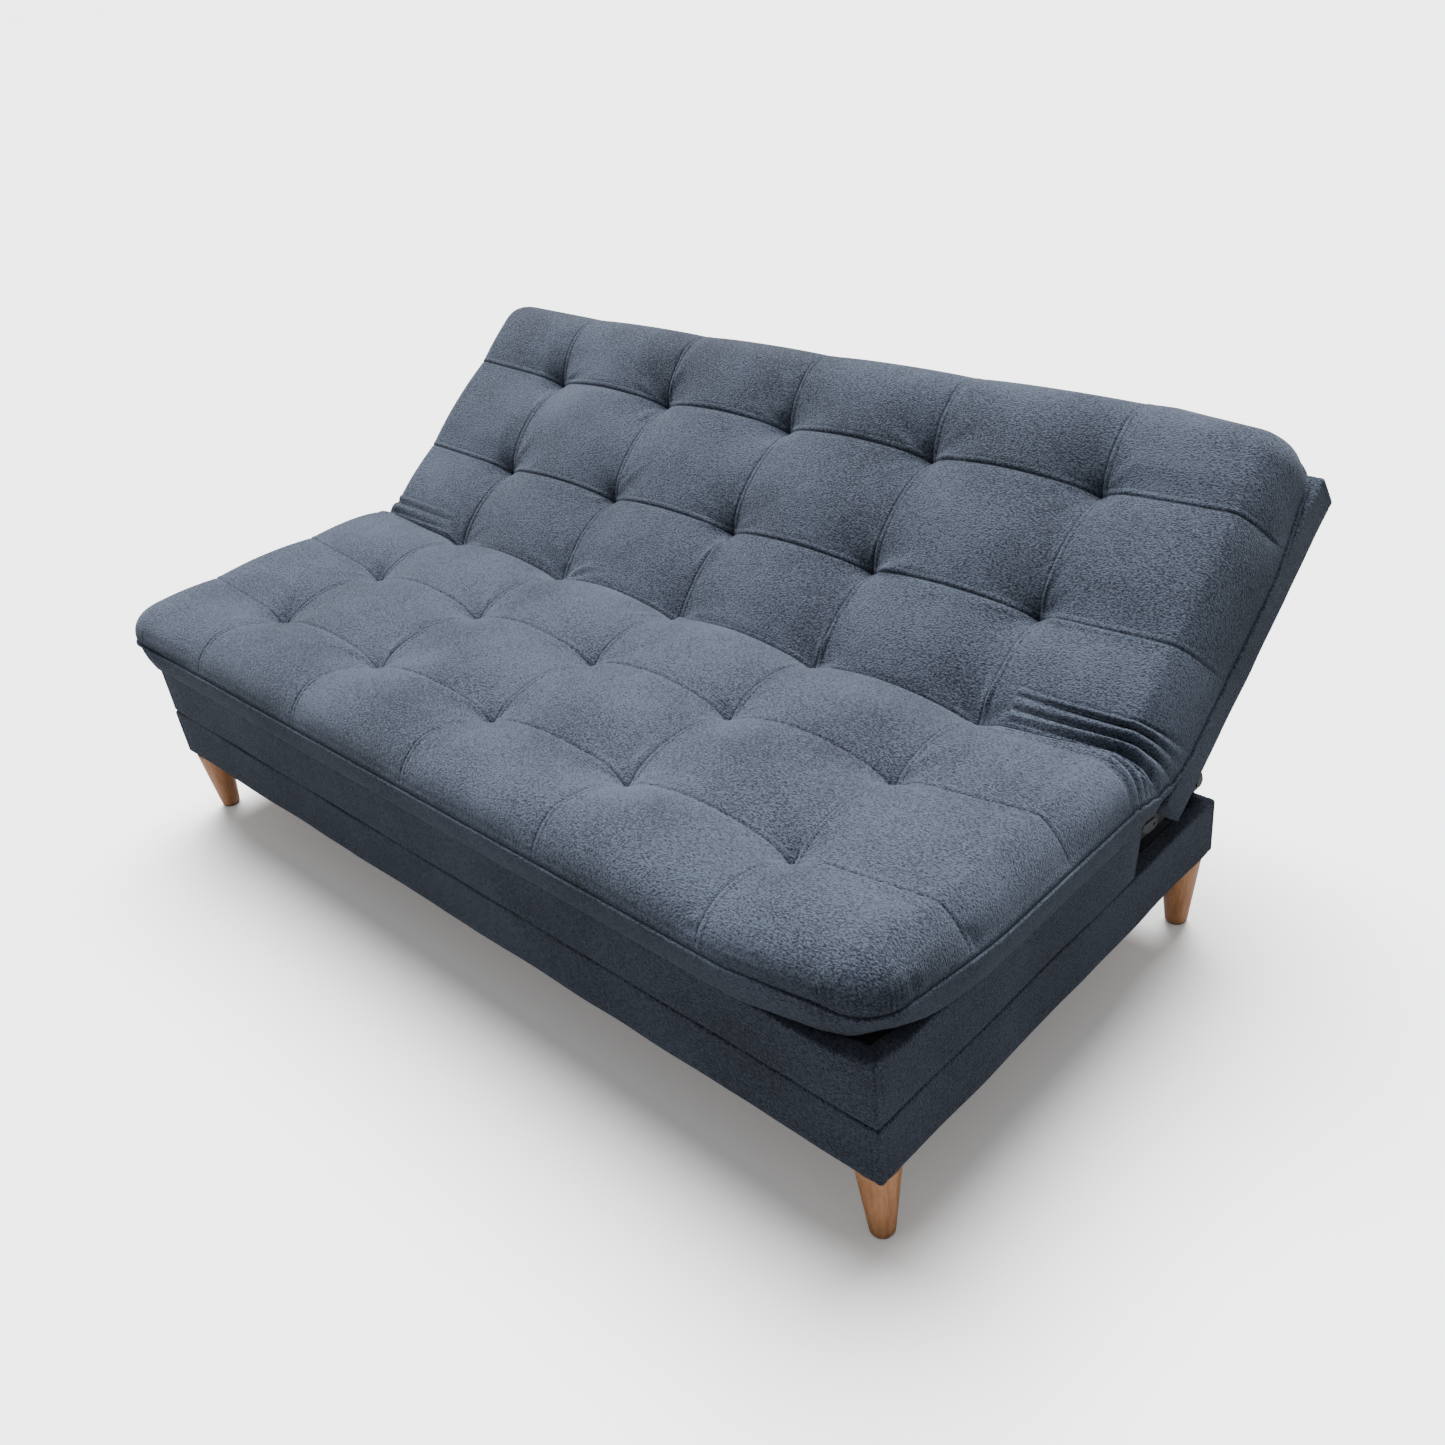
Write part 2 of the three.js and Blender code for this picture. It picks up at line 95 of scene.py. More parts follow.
PILLOW = 0.007  # how far the seams lie below the middle of each square
PIT_REACH = 0.034  # how wide the hollow round a tuft is
SEAM_GROOVE = 0.0022
RIB_HEIGHT = 0.0009  # of the cloth beside a seam
STITCH_LINE = 0.0092  # from the seam to the line of stitches
STITCH_DEPTH = 0.0008
PIPING = 0.0026  # radius
PIPING_STEP = 0.006  # least distance between its points
GATHER_PITCH = 0.0064
GATHER_HEIGHT = 0.0016
DRAG_FOLDS = 6  # soft folds round each tuft
SWELL_FRAMES = 20
TUFT_HOLD = 0.007  # each tuft holds the cover this far round it
SWELL_CAP = 0.022  # no point of the cover moves further than this as it swells

# Boards, back and legs.
BOARD_EDGE = 0.004  # radius of a covered board's long edges
COVER_CORNER = 0.005  # radius where a cover turns from one board to the next
COVER_STEP = 0.022  # longest step round a cover
BOARD_SEAM = 0.012  # from a corner to the seam beside it
BACK_COVER_START = 0.010  # the back's side covers start this far up the back from the recline axis
BACK_COVER_DEPTH = 0.030
PANEL_MARGIN = 0.026  # from the back's outside to the edge of its rear panel
PANEL_THICKNESS = 0.004
LEG_FOOT = 0.0165  # radius
LEG_RIM = 0.0015  # how far the rims of a leg are softened
CLOTH_WAVES = 14  # uneven waves added up in the cloth over a board
CLOTH_WAVE_HEIGHT = 0.0011  # of each wave, as a share of its pitch
SIDE_SLANT = 0.016  # the seat box's sides end this much further back at the top
SEAT_CORNER_LIFT = 0.010  # the seat box's top edge lifts by this at its right corner

# Camera and studio.
CAMERA_PLACE = (1.549, -1.309, 1.415)
CAMERA_TURN = (-47.34, -30.87, -7.34)  # yaw, pitch and roll, in degrees
CAMERA_LENS = 34.14  # mm, on a sensor 36 mm wide
SUN_FROM = (-0.28, 0.33, 0.90)
SUN_ENERGY = 13
SUN_SPREAD = 45  # degrees, so that the shadows are soft
BACKDROP = (4.05, 0.35)  # as the camera sees it, and the light it gives
FLOOR = (1.0, 0.25)
FLOOR_GLOW = 0.12  # seen by the camera only
FLOOR_REACH = 60  # far enough to fill every view


def crown_z():
    """Height of the seat's crown, the top of the mattress at rest."""
    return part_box("seat_pad")[1].z


SEAT_LINE = crown_z() - TUFT_DEPTH - AXIS_Z  # the tufts' line, above the recline axis, on seat and back alike
MEET = SEAT_LINE * math.tan(BACK_ANGLE / 2)
BEND_RADIUS = BEND_REACH / math.tan(BACK_ANGLE / 2)
BEND_START = FRONT_WELT - MEET - BEND_REACH
BEND_END = BEND_START + BEND_RADIUS * BACK_ANGLE
LENGTH = BEND_END + TOP_WELT - MEET - BEND_REACH  # from welt to welt, along the tufts' line
TUFT_X = [TUFT_PITCH * (i - (TUFT_COLUMNS - 1) / 2) for i in range(TUFT_COLUMNS)]
TUFT_T = [FRONT_WELT + reach for reach in SEAT_ROWS]
TUFT_T += [BEND_END + reach - MEET - BEND_REACH for reach in BACK_ROWS]
FOLD_T = TUFT_T[len(SEAT_ROWS) - 1]


def smooth(edge0, edge1, value):
    """0 below the first edge, 1 above the second, and a smooth step between them."""
    step = np.clip((value - edge0) / (edge1 - edge0), 0, 1)
    return step * step * (3 - 2 * step)


def spine(t):
    """Point and outward normal, in Y and Z, of the tufts' line at distance t behind the front welt."""
    t = np.asarray(t, float)
    turn = np.clip((t - BEND_START) / BEND_RADIUS, 0, BACK_ANGLE)
    before = np.minimum(t, BEND_START)
    after = np.maximum(t - BEND_END, 0)
    y = AXIS_Y - FRONT_WELT + before + BEND_RADIUS * np.sin(turn) + after * ALONG[0]
    z = AXIS_Z + SEAT_LINE + BEND_RADIUS * (1 - np.cos(turn)) + after * ALONG[1]
    return np.stack([y, z], -1), np.stack([-np.sin(turn), np.cos(turn)], -1)


def on_back(t):
    """0 on the seat, 1 on the back, and in between round the bend."""
    return smooth(BEND_START - 0.03, BEND_END + 0.01, t)


def welt_height(t):
    """The welt's height above the tufts' line, at distance t behind the front welt."""
    return SEAT_WELT + (BACK_WELT - SEAT_WELT) * on_back(t)


def underside_height(t):
    """The underside's height above the tufts' line: on the seat box, then on the back's front face."""
    back_side = back_front_face() - SEAT_LINE
    return SEAT_UNDERSIDE + (back_side - SEAT_UNDERSIDE) * on_back(t)


def back_front_face():
    """The back frame's front face, across the back from the recline axis."""
    return max(reaches("back_bottom_rail", ACROSS))


def reaches(node, direction):
    """How far each of a node's points lies from the recline axis along one of the back's directions."""
    points = frame["nodes"][node].data.vertices
    return [(v.co.y - AXIS_Y) * direction[0] + (v.co.z - AXIS_Z) * direction[1] for v in points]


# The mattress's grid has lines at these distances from each seam, closest where the stitches are.
SEAM_STEPS = (0.0013, 0.0028, 0.0048, 0.0070, 0.0085, 0.0095, 0.0105)
SEAM_STEPS += (0.0125, 0.0160, 0.0210, 0.0280, 0.0370, 0.0470)
FINE_STEP = 0.0100
FOLD_STEP = 0.0026  # across the pleats
COARSE_STEP = 0.0125  # of the cover that is blown up
LEAST_STEP = 0.0008  # lines closer than this to the one before are left out


def filled_in(marks, step):
    """The marks, with enough evenly spaced places between them that no gap is longer than the step."""
    filled = [marks[0]]
    for mark in marks[1:]:
        count = math.ceil((mark - filled[-1]) / step)
        start = filled[-1]
        filled += [start + (mark - start) * (i + 1) / count for i in range(count)]
    return filled


def grid_lines(seams, low, high, step, beside=(), fine=()):
    """Grid positions from low to high: on each seam, beside it, and close together in the fine ranges."""
    marks = {round(low, 6), round(high, 6)}
    for seam in seams:
        marks.add(round(seam, 6))
        for offset in beside:
            marks.update(round(seam + side * offset, 6) for side in (-1, 1))
    for start, end, gap in fine:
        count = max(1, round((end - start) / gap))
        marks.update(round(start + (end - start) * i / count, 6) for i in range(count + 1))
    kept = []
    for mark in sorted(m for m in marks if low <= m <= high):
        if kept and mark - kept[-1] < LEAST_STEP:
            continue
        kept.append(mark)
    return np.array(filled_in(kept, step))


def edge_roll(count):
    """Across a rounded edge from the welt inwards: distance in, share of the rise, swell past the welt."""
    share = np.linspace(0, 1, count + 1)[:-1]
    inward = ROLL * (1 - np.cos(share * math.pi / 2) ** ROLL_FULLNESS)
    rise = np.sin(share * math.pi / 2) ** ROLL_FULLNESS
    return inward, rise, BULGE * np.sin(math.pi * share) * (1 - share) * 1.6


def with_rolls(inner, low, high, low_count, high_count):
    """Grid positions with a rounded edge at both ends, and at each one its rise and its outward swell."""
    low_inward, low_rise, low_swell = edge_roll(low_count)
    high_inward, high_rise, high_swell = edge_roll(high_count)
    places = np.concatenate([low + low_inward, inner, (high - high_inward)[::-1]])
    rises = np.concatenate([low_rise, np.ones(len(inner)), high_rise[::-1]])
    swells = np.concatenate([-low_swell, np.zeros(len(inner)), high_swell[::-1]])
    return places, rises, swells


def from_nearest(values, places):
    """Signed distance of each value from the nearest of the places."""
    gaps = values[:, None] - np.array(places)[None, :]
    return gaps[np.arange(len(values)), np.abs(gaps).argmin(1)]


def tuft_relief(x, t):
    """Depth below the crown: low pillows between the seams, a hollow at each tuft, and the fold's crease."""
    gap_x, gap_t = np.meshgrid(np.abs(from_nearest(x, TUFT_X)), np.abs(from_nearest(t, TUFT_T)))
    sink_x = PILLOW * np.clip(1 - gap_x / (TUFT_PITCH / 2), 0, 1) ** 2.5
    sink_t = PILLOW * np.clip(1 - gap_t / ROW_HALF_PITCH, 0, 1) ** 2.5
    seams = sink_x + sink_t - sink_x * sink_t / PILLOW
    reach = np.sqrt(gap_x**2 + (1.15 * gap_t) ** 2 + 0.003**2)
    pit = (TUFT_DEPTH - PILLOW) * np.exp(-((reach / PIT_REACH) ** 0.85))
    fold = fold_crease(t)[:, None] * (1 - pit / TUFT_DEPTH)
    return seams + pit + fold


def fold_crease(t):
    """The crease along the fold row, steeper on its seat side, where the seat pushes against the back."""
    gap = t - FOLD_T
    return FOLD_DEPTH * np.where(gap < 0, np.exp(gap / 0.016), np.exp(-gap / 0.034))


def seam_stitching(x, t):
    """Fine relief of the sewn seams: a narrow groove, and a rib beside it held by a line of stitches."""

    def across(offset):
        groove = SEAM_GROOVE * np.exp(-((offset / 0.0015) ** 2))
        rib = RIB_HEIGHT * smooth(0.0005, 0.0030, offset) * (1 - smooth(0.0080, 0.0110, offset))
        stitches = STITCH_DEPTH * np.exp(-(((offset - STITCH_LINE) / 0.0012) ** 2))
        return rib - groove - stitches

    deep, shallow = 1.3, 0.8  # the seams from front to top are the deeper ones
    seams_x, seams_t = across(from_nearest(x, TUFT_X)), across(from_nearest(t, TUFT_T))
    return deep * seams_x[None, :] + shallow * seams_t[:, None]


def drag_folds(x, t):
    """Soft folds that each tuft pulls in the cloth round it."""
    rng = np.random.default_rng(4)
    total = np.zeros((len(t), len(x)))
    for row in TUFT_T:
        for column in TUFT_X:
            for _ in range(DRAG_FOLDS):
                angle = rng.uniform(0, 2 * math.pi)
                length = rng.uniform(0.06, 0.14)
                width = rng.uniform(0.005, 0.009)
                height = rng.uniform(0.0015, 0.0035)
                gap_x, gap_t = x[None, :] - column, t[:, None] - row
                curl = rng.uniform(-2, 2)
                ahead = gap_x * math.cos(angle) + gap_t * math.sin(angle)
                aside = gap_t * math.cos(angle) - gap_x * math.sin(angle) + curl * ahead**2
                spread = width * (0.5 + np.clip(ahead, 0, None) / length)
                reach = smooth(0.010, 0.035, ahead) * (1 - smooth(0.4 * length, length, ahead))
                total += height * reach * np.exp(-((aside / spread) ** 2))
    return total


def pleats(x, t, side, count, height, spread_end):
    """Folds that fan out from the last tuft of the fold row to one side, where the cloth is loose."""
    along = np.clip((side * x - PLEAT_START) / (HALF_WIDTH - PLEAT_START), 0, 1)[None, :]
    spread = 0.005 + spread_end * along**0.8
    centre = FOLD_T + 0.014 * along + 0.020 * along * (1 - along)
    place = (t[:, None] - centre) / spread
    inside = 1 - smooth(0.80, 1.10, np.abs(place))
    phase = count / 2 * (place + 1) + 0.16 * np.sin(5.1 * place + 9 * along) * along
    ridge = np.abs(np.sin(math.pi * phase)) ** 0.7
    strength = smooth(0.0, 0.50, along + 0.06 * np.sin(4 * place)) * (0.7 + 0.3 * along)
    uneven = 0.8 + 0.2 * np.sin(7 * place)
    sunk = 0.62  # the folds rise out of a hollow as deep as this share of their height
    return height * (strength * uneven) * inside * (ridge - sunk)


def corner_place(x, t):
    """Round the front corners: distance along the edge from where the curve starts, and the way out."""
    past_x = np.abs(x) - (HALF_WIDTH - CORNER_DRAW - CORNER)
    before_t = CORNER_DRAW + CORNER - t
    out_x, out_t = np.clip(past_x, 0, None), np.clip(before_t, 1e-6, None)
    length = np.hypot(out_x, out_t)
    along = CORNER * np.arctan2(out_x, out_t) + np.clip(past_x, None, 0) - np.clip(before_t, None, 0)
    return along, np.sign(x) * out_x / length, -out_t / length


def gathers(along):
    """Small gathers where the cover is sewn round the front corners: a few before the curve, more after."""
    wide = np.sin(2 * math.pi * along / (1.7 * GATHER_PITCH)) * np.exp(-(((along + 0.010) / 0.020) ** 2))
    after = smooth(0.050, 0.065, along) * (1 - smooth(0.105, 0.135, along))
    close = np.sin(2 * math.pi * along / GATHER_PITCH) * after
    return GATHER_HEIGHT * (1.3 * wide + close)


def mattress_form(columns, rows, sewn):
    """The top of the mattress as a grid of points. Columns and rows are (places, rises, swells)."""
    x, rise_x, swell_x = columns
    t, rise_t, swell_t = rows
    rise = rise_t[:, None] * rise_x[None, :]
    welt = welt_height(t)[:, None]
    keep = 0.25 + 0.75 * rise
    height = welt + (TUFT_DEPTH - welt) * rise - tuft_relief(x, t) * keep * rise**0.35
    if sewn:
        height += seam_stitching(x, t) * np.minimum(1, rise * 3)
        right_pleats = pleats(x, t, side=1, count=6, height=0.027, spread_end=0.064)
        left_pleats = pleats(x, t, side=-1, count=4, height=0.010, spread_end=0.048)
        height += (right_pleats + left_pleats) * keep
        height += drag_folds(x, t) * rise

    # The corners are rounded, and the edges draw in towards the right ones.
    to_end = np.minimum(t, LENGTH - t)[:, None]
    right = (x > 0)[None, :]
    radius = np.where(right, CORNER, LEFT_CORNER)
    inset = radius - np.sqrt(np.clip(radius**2 - np.clip(radius - to_end, 0, None) ** 2, 0, None))
    inset = inset + right * CORNER_DRAW * (1 - smooth(0, CORNER_REACH, to_end))
    straight = HALF_WIDTH - 3 * CORNER  # inside this, nothing moves sideways
    squeeze = (HALF_WIDTH - inset - straight) / (HALF_WIDTH - straight)
    outer = np.clip(np.abs(x) - straight, 0, None)
    places_x = np.sign(x) * (np.minimum(np.abs(x), straight) + outer * squeeze)
    places_x = places_x + swell_x[None, :] * rise_t[:, None]
    draw = right * CORNER_DRAW * (1 - smooth(0, CORNER_REACH, HALF_WIDTH - np.abs(x)))[None, :]
    draw = draw * (1 - smooth(0, CORNER_REACH, to_end))
    inwards = np.where(t < LENGTH / 2, 1, -1)[:, None]
    places_t = t[:, None] + swell_t[:, None] * rise_x[None, :] + inwards * draw
    if sewn:
        along, out_x, out_t = corner_place(places_x, places_t)
        ripple = gathers(along) * np.minimum(1, 6 * rise) * (1 - smooth(0.30, 0.80, rise))
        places_x = places_x + ripple * out_x
        places_t = places_t + ripple * out_t
        height += ripple * 0.7
    centre, normal = spine(places_t)
    yz = centre + height[..., None] * normal
    return np.concatenate([places_x[..., None], yz], -1)


def mattress_grid(step, side_steps, front_steps, top_steps, beside=(), fine_rows=()):
    """Columns and rows for mattress_form, with a number of steps over each rounded edge."""
    x_inner = grid_lines(TUFT_X, -HALF_WIDTH + ROLL, HALF_WIDTH - ROLL, step, beside)
    t_inner = grid_lines(TUFT_T, ROLL, LENGTH - ROLL, step, beside, fine_rows)
    columns = with_rolls(x_inner, -HALF_WIDTH, HALF_WIDTH, side_steps, side_steps)
    return columns, with_rolls(t_inner, 0, LENGTH, front_steps, top_steps)


def puffed(columns, rows):
    """How far each point of the top moves when the cover is blown up with its tufts and welt held."""
    top = mattress_form(columns, rows, sewn=False)
    shape = top.shape
    points, faces, *_ = mattress_body(top, rows[0])
    piece = new_mesh("swelling_cover", points, faces, bpy.data.materials.new("plain"))
    gap_x, gap_t = from_nearest(columns[0], TUFT_X), from_nearest(rows[0], TUFT_T)
    held = np.hypot(gap_x[None, :], gap_t[:, None]) < TUFT_HOLD
    held[[0, -1], :] = True
    held[:, [0, -1]] = True
    count = shape[0] * shape[1]
    pins = piece.vertex_groups.new(name="pins")
    kept = np.flatnonzero(held.reshape(-1)).tolist() + list(range(count, len(points)))
    pins.add(kept, 1.0, "REPLACE")
    cloth = piece.modifiers.new("cloth", "CLOTH")
    settings = cloth.settings
    settings.quality = 4
    settings.mass = 0.3
    settings.tension_stiffness = settings.compression_stiffness = 12
    settings.shear_stiffness = 6
    settings.bending_stiffness = 1.5
    settings.use_pressure = True
    settings.uniform_pressure_force = 4
    settings.vertex_group_mass = "pins"
    settings.effector_weights.gravity = 0
    scene = bpy.context.scene
    for step in range(1, SWELL_FRAMES + 1):
        scene.frame_set(step)
    swollen = piece.evaluated_get(bpy.context.evaluated_depsgraph_get()).to_mesh()
    moved = np.zeros(len(swollen.vertices) * 3, np.float32)
    swollen.vertices.foreach_get("co", moved)
    scene.frame_set(1)
    shift = moved.reshape(-1, 3)[:count].reshape(shape).astype(float) - top
    bpy.data.objects.remove(piece)
    length = np.linalg.norm(shift, axis=-1, keepdims=True)
    return shift * np.minimum(1, SWELL_CAP / np.maximum(length, 1e-9))


def cubic_between(values, known, wanted):
    """Values known along the first axis, smoothly interpolated at other places."""
    at = np.interp(wanted, known, np.arange(len(known)))
    base = np.clip(np.floor(at).astype(int), 0, len(known) - 2)
    share = (at - base).reshape(-1, *[1] * (values.ndim - 1))
    a, b, c, d = (values[np.clip(base + k, 0, len(known) - 1)] for k in (-1, 0, 1, 2))
    return b + 0.5 * share * (c - a + share * (2 * a - 5 * b + 4 * c - d + share * (3 * (b - c) + d - a)))


def mattress_surface():
    """The finished top of the mattress, sewn and swollen, and its rows' distances behind the front welt."""
    fold_rows = [(FOLD_T - 0.070, FOLD_T + 0.085, FOLD_STEP)]
    edge_steps = {"side_steps": 24, "front_steps": 46, "top_steps": 16}
    columns, rows = mattress_grid(FINE_STEP, **edge_steps, beside=SEAM_STEPS, fine_rows=fold_rows)
    top = mattress_form(columns, rows, sewn=True)
    coarse_columns, coarse_rows = mattress_grid(COARSE_STEP, side_steps=7, front_steps=7, top_steps=7)
    shift = puffed(coarse_columns, coarse_rows)
    shift = cubic_between(shift, coarse_rows[0], rows[0])
    shift = cubic_between(shift.transpose(1, 0, 2), coarse_columns[0], columns[0]).transpose(1, 0, 2)
    top += shift
    return top, rows[0]


def rim(shape):
    """Grid positions round the edge of a grid, once round from the front left corner."""
    rows, columns = shape
    front = [(0, c) for c in range(columns - 1)]
    right = [(r, columns - 1) for r in range(rows - 1)]
    top = [(rows - 1, c) for c in range(columns - 1, 0, -1)]
    left = [(r, 0) for r in range(rows - 1, 0, -1)]
    return front + right + top + left


def new_mesh(name, points, faces, material):
    """A smooth-shaded mesh object in the scene."""
    mesh = bpy.data.meshes.new(name)
    mesh.from_pydata([tuple(p) for p in points], [], faces)
    mesh.validate()
    mesh.materials.append(material)
    mesh.shade_smooth()
    piece = bpy.data.objects.new(name, mesh)
    bpy.context.scene.collection.objects.link(piece)
    return piece


def grid_faces(rows, columns, first=0):
    """Faces between the points of a grid that starts at point number first."""
    faces = []
    for r in range(rows - 1):
        for c in range(columns - 1):
            a = first + r * columns + c
            faces.append((a, a + 1, a + columns + 1, a + columns))
    return faces


def zip_chains(left, right):
    """Triangles between two chains of (index, place) that run side by side."""
    faces = []
    i = j = 0
    while i < len(left) - 1 or j < len(right) - 1:
        step_left = j == len(right) - 1 or (i < len(left) - 1 and left[i + 1][1] <= right[j + 1][1])
        if step_left:
            faces.append((left[i][0], left[i + 1][0], right[j][0]))
            i += 1
        else:
            faces.append((left[i][0], right[j + 1][0], right[j][0]))
            j += 1
    return faces


def mattress_body(top, t):
    """The closed mattress: its top, the band below the welt and the underside."""
    shape = top.shape[:2]
    points = top.reshape(-1, 3).tolist()
    faces = grid_faces(*shape)
    edge = rim(shape)
    welt = np.array([top[r, c] for r, c in edge])
    welt_t = np.array([t[r] for r, _ in edge])
    outward = rim_directions(welt, welt_t)
    first_ring = [r * shape[1] + c for r, c in edge]
    last_ring = mattress_band(points, faces, first_ring, welt, welt_t, outward)
    flat_from = len(faces)
    mattress_underside(points, faces, dict(zip(edge, last_ring)), shape, t)
    return points, faces, flat_from, welt, outward


def mattress_band(points, faces, ring, welt, welt_t, outward):
    """Adds the band from the welt down to the underside, and returns the numbers of its lowest points."""
    welt_z, under_z = welt_height(welt_t), underside_height(welt_t)
    normal = spine(welt_t)[1]
    along = corner_place(welt[:, 0], welt_t)[0]
    corner = np.exp(-(((along - CORNER * math.pi / 4) / 0.055) ** 2)) * (welt[:, 0] > 0)
    ripple = gathers(along)
    for step in np.linspace(0, 1, BAND_STEPS + 1)[1:]:
        drop = (welt_z - under_z) * step * (1 - CORNER_LIFT * corner)
        inset = -BAND_INSET * step * (welt_z - under_z) / (SEAT_WELT - SEAT_UNDERSIDE)
        inset *= 1 + CORNER_TUCK * corner
        inset += BAND_BULGE * math.sin(math.pi * step) + ripple * math.sin(math.pi * min(1, 1.6 * step))
        layer = welt + outward * inset[:, None]
        layer[:, 1:] -= normal * drop[:, None]
        start = len(points)
        points += layer.tolist()
        next_ring = list(range(start, start + len(layer)))
        for i in range(len(ring)):
            j = (i + 1) % len(ring)
            faces.append((ring[j], ring[i], next_ring[i], next_ring[j]))
        ring = next_ring
    return ring


def mattress_underside(points, faces, numbers, shape, t):
    """Adds the underside: lines from side to side, zipped to the curved edges at its two ends."""
    rows, columns = shape
    shares = np.linspace(0, 1, UNDERSIDE_STEPS + 1)[1:-1]
    inner_rows = [r for r in range(rows) if CORNER < t[r] < LENGTH - CORNER]
    lines = []
    for r in inner_rows:
        ends = numbers[(r, 0)], numbers[(r, columns - 1)]
        left, right = (np.array(points[end]) for end in ends)
        start = len(points)
        points += [(left + (right - left) * share).tolist() for share in shares]
        lines.append([ends[0], *range(start, len(points)), ends[1]])
    for low, high in zip(lines, lines[1:]):
        for c in range(len(low) - 1):
            faces.append((low[c], high[c], high[c + 1], low[c + 1]))
    first, last = inner_rows[0], inner_rows[-1]
    front = [(r, 0) for r in range(first, 0, -1)] + [(0, c) for c in range(columns)]
    front += [(r, columns - 1) for r in range(1, first + 1)]
    top_end = [(r, 0) for r in range(last, rows - 1)] + [(rows - 1, c) for c in range(columns)]
    top_end += [(r, columns - 1) for r in range(rows - 2, last - 1, -1)]
    for chain, line, turned in ((front, lines[0], True), (top_end, lines[-1], False)):
        outer = [(numbers[place], points[numbers[place]][0]) for place in chain]
        inner = [(index, points[index][0]) for index in line]
        for face in zip_chains(outer, inner):
            if len(set(face)) == 3:
                faces.append(tuple(reversed(face)) if turned else face)


def bend_with_fold(piece):
    """Bakes the piece's placement into its mesh points."""
    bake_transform(piece)


def mattress(cloth):
    """The tufted mattress and its piping, in place of the three CAD pads."""
    top, t = mattress_surface()
    points, faces, flat_from, welt, outward = mattress_body(top, t)
    piece = new_mesh("mattress", points, faces, cloth)
    for face in piece.data.polygons[flat_from:]:
        face.use_smooth = False
    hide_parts("seat_pad", "back_pad", "fold_pad")
    bend_with_fold(piece)
    piping(cloth, welt, outward)


def rim_directions(points, t):
    """Unit directions out of the mattress's edge, square to the edge and along its surface."""
    ahead = np.roll(points, -1, 0) - np.roll(points, 1, 0)
    normals = np.concatenate([np.zeros((len(t), 1)), spine(t)[1]], 1)
    out = np.cross(ahead, normals)
    out /= np.linalg.norm(out, axis=1)[:, None]
    for _ in range(6):
        out = (np.roll(out, 1, 0) + out * 2 + np.roll(out, -1, 0)) / 4
        out /= np.linalg.norm(out, axis=1)[:, None]
    return out


def closed_tube(name, path, radius, material, sides=8):
    """A round piping along a closed path of points."""
    path = np.asarray(path, float)
    count = len(path)
    ahead = np.roll(path, -1, 0) - np.roll(path, 1, 0)
    ahead /= np.linalg.norm(ahead, axis=1)[:, None]
    side = np.cross(ahead, [0.12, 0.31, 0.94])  # a direction that the path never runs along
    side /= np.linalg.norm(side, axis=1)[:, None]
    up = np.cross(side, ahead)
    angles = np.arange(sides) * 2 * math.pi / sides
    rings = path[:, None] + radius * (
        np.cos(angles)[None, :, None] * side[:, None] + np.sin(angles)[None, :, None] * up[:, None]
    )
    faces = []
    for i in range(count):
        j = (i + 1) % count
        for k in range(sides):
            m = (k + 1) % sides
            faces.append((i * sides + k, j * sides + k, j * sides + m, i * sides + m))
    return new_mesh(name, rings.reshape(-1, 3), faces, material)


def piping(cloth, ring_points, outward):
    """The welt sewn round the mattress's edge."""
    keep = [0]
    for i in range(1, len(ring_points)):
        if np.linalg.norm(ring_points[i] - ring_points[keep[-1]]) > PIPING_STEP:
            keep.append(i)
    path = ring_points[keep] + outward[keep] * PIPING * 0.9
    bend_with_fold(closed_tube("mattress_piping", path, PIPING, cloth))


def union_box(*names):
    """Lowest and highest corners of some nodes together."""
    boxes = [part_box(name) for name in names]
    low = Vector(min(b[0][i] for b in boxes) for i in range(3))
    high = Vector(max(b[1][i] for b in boxes) for i in range(3))
    return low, high


def on_floor_plan(x, y, z):
    """Points given across the width, along the depth and up."""
    return np.stack([x, y, z], -1)


def on_back_plane(x, along, across):
    """Points given across the width, along the back and out of it."""
    y = AXIS_Y + along * ALONG[0] + across * ACROSS[0]
    z = AXIS_Z + along * ALONG[1] + across * ACROSS[1]
    return np.stack([x, y, z], -1)


def edge_section(depth, low, high, radius, lip=0.002):
    """Outline of an upholstered board, as (distance out, height): round outside, nearly square inside."""
    turn = np.linspace(0, math.pi / 2, 6)
    bottom = [(-radius + radius * math.sin(a), low + radius - radius * math.cos(a)) for a in turn]
    top = [(-radius + radius * math.cos(a), high - radius + radius * math.sin(a)) for a in turn]
    face = [(0.0, low + radius + (high - low - 2 * radius) * i / 8) for i in range(1, 8)]
    inside = [(-depth + lip, high), (-depth, high - lip), (-depth, low + lip), (-depth + lip, low)]
    return np.array(bottom + face + top + inside)


def run(start, end, step, fine_ends=(False, False)):
    """Distances from start to end, closer together near an end that has a seam beside it."""
    close = [0.003, 0.006, 0.009, 0.0105, 0.012, 0.0135, 0.015, 0.018, 0.024, 0.034]
    marks = {start, end}
    if fine_ends[0]:
        marks.update(start + c for c in close)
    if fine_ends[1]:
        marks.update(end - c for c in close)
    return filled_in(sorted(marks), step)


